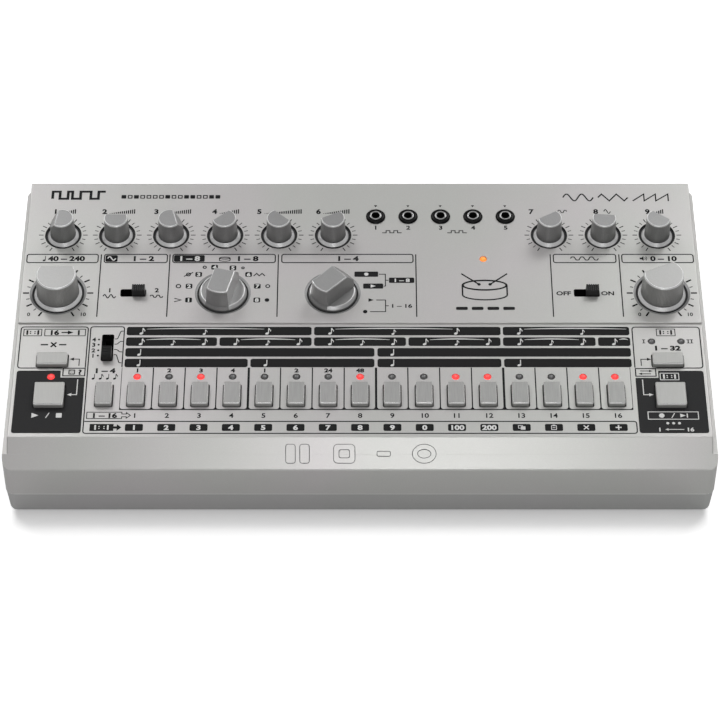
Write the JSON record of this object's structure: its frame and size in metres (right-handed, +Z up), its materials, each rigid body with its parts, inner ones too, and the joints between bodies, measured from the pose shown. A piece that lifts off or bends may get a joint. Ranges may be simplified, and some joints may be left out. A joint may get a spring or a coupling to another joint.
{
  "type": "drum machine",
  "caption": "Desktop drum machine with a sloping silver panel of knobs, selector dials, slide switches, step buttons and lamps, with sockets on the panel and the back.",
  "frame": {"origin": "centre of the bounding box at the base of the rubber feet", "axes": "+Z up, +X to the right as seen by the player, the sloping panel's front edge towards -Y and the rear sockets towards +Y"},
  "size_m": [0.305, 0.165, 0.056],
  "materials": {
    "silver_paint": "satin",
    "grey_plastic": "matte",
    "rubber": "matte",
    "board_green": "satin",
    "steel": "satin",
    "pot_body": "satin",
    "switch_black": "satin",
    "lamp_red": "gloss",
    "spacer_white": "matte",
    "nickel": "polished",
    "plate_grey": "satin",
    "knob_silver": "satin",
    "button_grey": "satin",
    "chip_black": "matte"
  },
  "bodies": {
    "casing": {"top_shell": "silver_paint", "bottom_shell": "grey_plastic", "rubber_feet": "rubber", "main_board": "board_green", "rear_board": "board_green", "screws": "steel", "potentiometers": "pot_body", "rotary_switches": "pot_body", "tact_switches": "switch_black", "slide_switches": "switch_black", "lamps": "lamp_red", "lamp_spacers": "spacer_white", "panel_sockets": "switch_black", "jack_nuts": "nickel", "rear_plate": "plate_grey", "voice_sockets": "switch_black", "mix_socket": "switch_black", "midi_sockets": "switch_black", "usb_socket": "steel", "dc_socket": "switch_black", "power_switch_body": "switch_black", "board_components": "chip_black"},
    "accent_knob": {"accent_knob": "knob_silver"},
    "bass_drum_knob": {"bass_drum_knob": "knob_silver"},
    "snare_drum_knob": {"snare_drum_knob": "knob_silver"},
    "tom_knob": {"tom_knob": "knob_silver"},
    "cymbal_knob": {"cymbal_knob": "knob_silver"},
    "hihat_knob": {"hihat_knob": "knob_silver"},
    "distortion_knob": {"distortion_knob": "knob_silver"},
    "tone_knob": {"tone_knob": "knob_silver"},
    "level_knob": {"level_knob": "knob_silver"},
    "tempo_knob": {"tempo_knob": "knob_silver"},
    "volume_knob": {"volume_knob": "knob_silver"},
    "instrument_selector": {"instrument_selector": "knob_silver"},
    "mode_selector": {"mode_selector": "knob_silver"},
    "voice_slider": {"voice_slider": "switch_black"},
    "distortion_slider": {"distortion_slider": "switch_black"},
    "scale_slider": {"scale_slider": "switch_black"},
    "step_button_01": {"step_button_01": "button_grey"},
    "step_button_02": {"step_button_02": "button_grey"},
    "step_button_03": {"step_button_03": "button_grey"},
    "step_button_04": {"step_button_04": "button_grey"},
    "step_button_05": {"step_button_05": "button_grey"},
    "step_button_06": {"step_button_06": "button_grey"},
    "step_button_07": {"step_button_07": "button_grey"},
    "step_button_08": {"step_button_08": "button_grey"},
    "step_button_09": {"step_button_09": "button_grey"},
    "step_button_10": {"step_button_10": "button_grey"},
    "step_button_11": {"step_button_11": "button_grey"},
    "step_button_12": {"step_button_12": "button_grey"},
    "step_button_13": {"step_button_13": "button_grey"},
    "step_button_14": {"step_button_14": "button_grey"},
    "step_button_15": {"step_button_15": "button_grey"},
    "step_button_16": {"step_button_16": "button_grey"},
    "function_button": {"function_button": "button_grey"},
    "start_stop_button": {"start_stop_button": "button_grey"},
    "write_button": {"write_button": "button_grey"},
    "clear_button": {"clear_button": "button_grey"},
    "group_button": {"group_button": "button_grey"},
    "power_rocker": {"power_rocker": "switch_black"}
  },
  "joints": [
    {"name": "accent_knob_turn", "type": "hinge", "parent": "casing", "child": "accent_knob", "pos_m": [-0.1339, 0.04396, 0.04433], "axis": [0, -0.0384, 0.9993], "range_deg": [-232, 68]},
    {"name": "bass_drum_knob_turn", "type": "hinge", "parent": "casing", "child": "bass_drum_knob", "pos_m": [-0.10955, 0.04396, 0.04433], "axis": [0, -0.0384, 0.9993], "range_deg": [-150, 150]},
    {"name": "snare_drum_knob_turn", "type": "hinge", "parent": "casing", "child": "snare_drum_knob", "pos_m": [-0.0852, 0.04396, 0.04433], "axis": [0, -0.0384, 0.9993], "range_deg": [-75, 225]},
    {"name": "tom_knob_turn", "type": "hinge", "parent": "casing", "child": "tom_knob", "pos_m": [-0.06085, 0.04396, 0.04433], "axis": [0, -0.0384, 0.9993], "range_deg": [-190, 110]},
    {"name": "cymbal_knob_turn", "type": "hinge", "parent": "casing", "child": "cymbal_knob", "pos_m": [-0.0365, 0.04396, 0.04433], "axis": [0, -0.0384, 0.9993], "range_deg": [-108, 192]},
    {"name": "hihat_knob_turn", "type": "hinge", "parent": "casing", "child": "hihat_knob", "pos_m": [-0.01215, 0.04396, 0.04433], "axis": [0, -0.0384, 0.9993], "range_deg": [-175, 125]},
    {"name": "distortion_knob_turn", "type": "hinge", "parent": "casing", "child": "distortion_knob", "pos_m": [0.08525, 0.04396, 0.04433], "axis": [0, -0.0384, 0.9993], "range_deg": [-180, 120]},
    {"name": "tone_knob_turn", "type": "hinge", "parent": "casing", "child": "tone_knob", "pos_m": [0.1096, 0.04396, 0.04433], "axis": [0, -0.0384, 0.9993], "range_deg": [-145, 155]},
    {"name": "level_knob_turn", "type": "hinge", "parent": "casing", "child": "level_knob", "pos_m": [0.13395, 0.04396, 0.04433], "axis": [0, -0.0384, 0.9993], "range_deg": [-115, 185]},
    {"name": "tempo_knob_turn", "type": "hinge", "parent": "casing", "child": "tempo_knob", "pos_m": [-0.1339, 0.00929, 0.04299], "axis": [0, -0.0384, 0.9993], "range_deg": [-150, 150]},
    {"name": "volume_knob_turn", "type": "hinge", "parent": "casing", "child": "volume_knob", "pos_m": [0.1339, 0.00929, 0.04299], "axis": [0, -0.0384, 0.9993], "range_deg": [-175, 125]},
    {"name": "instrument_selector_turn", "type": "hinge", "parent": "casing", "child": "instrument_selector", "pos_m": [-0.06085, 0.00929, 0.04299], "axis": [0, -0.0384, 0.9993], "range_deg": [-90, 120]},
    {"name": "mode_selector_turn", "type": "hinge", "parent": "casing", "child": "mode_selector", "pos_m": [-0.01215, 0.00929, 0.04299], "axis": [0, -0.0384, 0.9993], "range_deg": [-90, 0]},
    {"name": "voice_slider_slide", "type": "slide", "parent": "casing", "child": "voice_slider", "axis": [1, 0, 0], "range_m": [-0.0049, 0]},
    {"name": "distortion_slider_slide", "type": "slide", "parent": "casing", "child": "distortion_slider", "axis": [1, 0, 0], "range_m": [-0.0049, 0]},
    {"name": "scale_slider_slide", "type": "slide", "parent": "casing", "child": "scale_slider", "axis": [0, 0.9993, 0.0384], "range_m": [0, 0.00915]},
    {"name": "step_button_01_press", "type": "slide", "parent": "casing", "child": "step_button_01", "axis": [0, 0.0384, -0.9993], "range_m": [0, 0.001], "stiffness_N_per_m": 600, "springref_m": -0.0005},
    {"name": "step_button_02_press", "type": "slide", "parent": "casing", "child": "step_button_02", "axis": [0, 0.0384, -0.9993], "range_m": [0, 0.001], "stiffness_N_per_m": 600, "springref_m": -0.0005},
    {"name": "step_button_03_press", "type": "slide", "parent": "casing", "child": "step_button_03", "axis": [0, 0.0384, -0.9993], "range_m": [0, 0.001], "stiffness_N_per_m": 600, "springref_m": -0.0005},
    {"name": "step_button_04_press", "type": "slide", "parent": "casing", "child": "step_button_04", "axis": [0, 0.0384, -0.9993], "range_m": [0, 0.001], "stiffness_N_per_m": 600, "springref_m": -0.0005},
    {"name": "step_button_05_press", "type": "slide", "parent": "casing", "child": "step_button_05", "axis": [0, 0.0384, -0.9993], "range_m": [0, 0.001], "stiffness_N_per_m": 600, "springref_m": -0.0005},
    {"name": "step_button_06_press", "type": "slide", "parent": "casing", "child": "step_button_06", "axis": [0, 0.0384, -0.9993], "range_m": [0, 0.001], "stiffness_N_per_m": 600, "springref_m": -0.0005},
    {"name": "step_button_07_press", "type": "slide", "parent": "casing", "child": "step_button_07", "axis": [0, 0.0384, -0.9993], "range_m": [0, 0.001], "stiffness_N_per_m": 600, "springref_m": -0.0005},
    {"name": "step_button_08_press", "type": "slide", "parent": "casing", "child": "step_button_08", "axis": [0, 0.0384, -0.9993], "range_m": [0, 0.001], "stiffness_N_per_m": 600, "springref_m": -0.0005},
    {"name": "step_button_09_press", "type": "slide", "parent": "casing", "child": "step_button_09", "axis": [0, 0.0384, -0.9993], "range_m": [0, 0.001], "stiffness_N_per_m": 600, "springref_m": -0.0005},
    {"name": "step_button_10_press", "type": "slide", "parent": "casing", "child": "step_button_10", "axis": [0, 0.0384, -0.9993], "range_m": [0, 0.001], "stiffness_N_per_m": 600, "springref_m": -0.0005},
    {"name": "step_button_11_press", "type": "slide", "parent": "casing", "child": "step_button_11", "axis": [0, 0.0384, -0.9993], "range_m": [0, 0.001], "stiffness_N_per_m": 600, "springref_m": -0.0005},
    {"name": "step_button_12_press", "type": "slide", "parent": "casing", "child": "step_button_12", "axis": [0, 0.0384, -0.9993], "range_m": [0, 0.001], "stiffness_N_per_m": 600, "springref_m": -0.0005},
    {"name": "step_button_13_press", "type": "slide", "parent": "casing", "child": "step_button_13", "axis": [0, 0.0384, -0.9993], "range_m": [0, 0.001], "stiffness_N_per_m": 600, "springref_m": -0.0005},
    {"name": "step_button_14_press", "type": "slide", "parent": "casing", "child": "step_button_14", "axis": [0, 0.0384, -0.9993], "range_m": [0, 0.001], "stiffness_N_per_m": 600, "springref_m": -0.0005},
    {"name": "step_button_15_press", "type": "slide", "parent": "casing", "child": "step_button_15", "axis": [0, 0.0384, -0.9993], "range_m": [0, 0.001], "stiffness_N_per_m": 600, "springref_m": -0.0005},
    {"name": "step_button_16_press", "type": "slide", "parent": "casing", "child": "step_button_16", "axis": [0, 0.0384, -0.9993], "range_m": [0, 0.001], "stiffness_N_per_m": 600, "springref_m": -0.0005},
    {"name": "function_button_press", "type": "slide", "parent": "casing", "child": "function_button", "axis": [0, 0.0384, -0.9993], "range_m": [0, 0.001], "stiffness_N_per_m": 600, "springref_m": -0.0005},
    {"name": "start_stop_button_press", "type": "slide", "parent": "casing", "child": "start_stop_button", "axis": [0, 0.0384, -0.9993], "range_m": [0, 0.001], "stiffness_N_per_m": 600, "springref_m": -0.0005},
    {"name": "write_button_press", "type": "slide", "parent": "casing", "child": "write_button", "axis": [0, 0.0384, -0.9993], "range_m": [0, 0.001], "stiffness_N_per_m": 600, "springref_m": -0.0005},
    {"name": "clear_button_press", "type": "slide", "parent": "casing", "child": "clear_button", "axis": [0, 0.0384, -0.9993], "range_m": [0, 0.001], "stiffness_N_per_m": 600, "springref_m": -0.0005},
    {"name": "group_button_press", "type": "slide", "parent": "casing", "child": "group_button", "axis": [0, 0.0384, -0.9993], "range_m": [0, 0.001], "stiffness_N_per_m": 600, "springref_m": -0.0005},
    {"name": "power_rocker_tilt", "type": "hinge", "parent": "casing", "child": "power_rocker", "pos_m": [-0.1215, 0.07264, 0.028], "axis": [1, 0, 0], "range_deg": [-18, 0]}
  ]
}
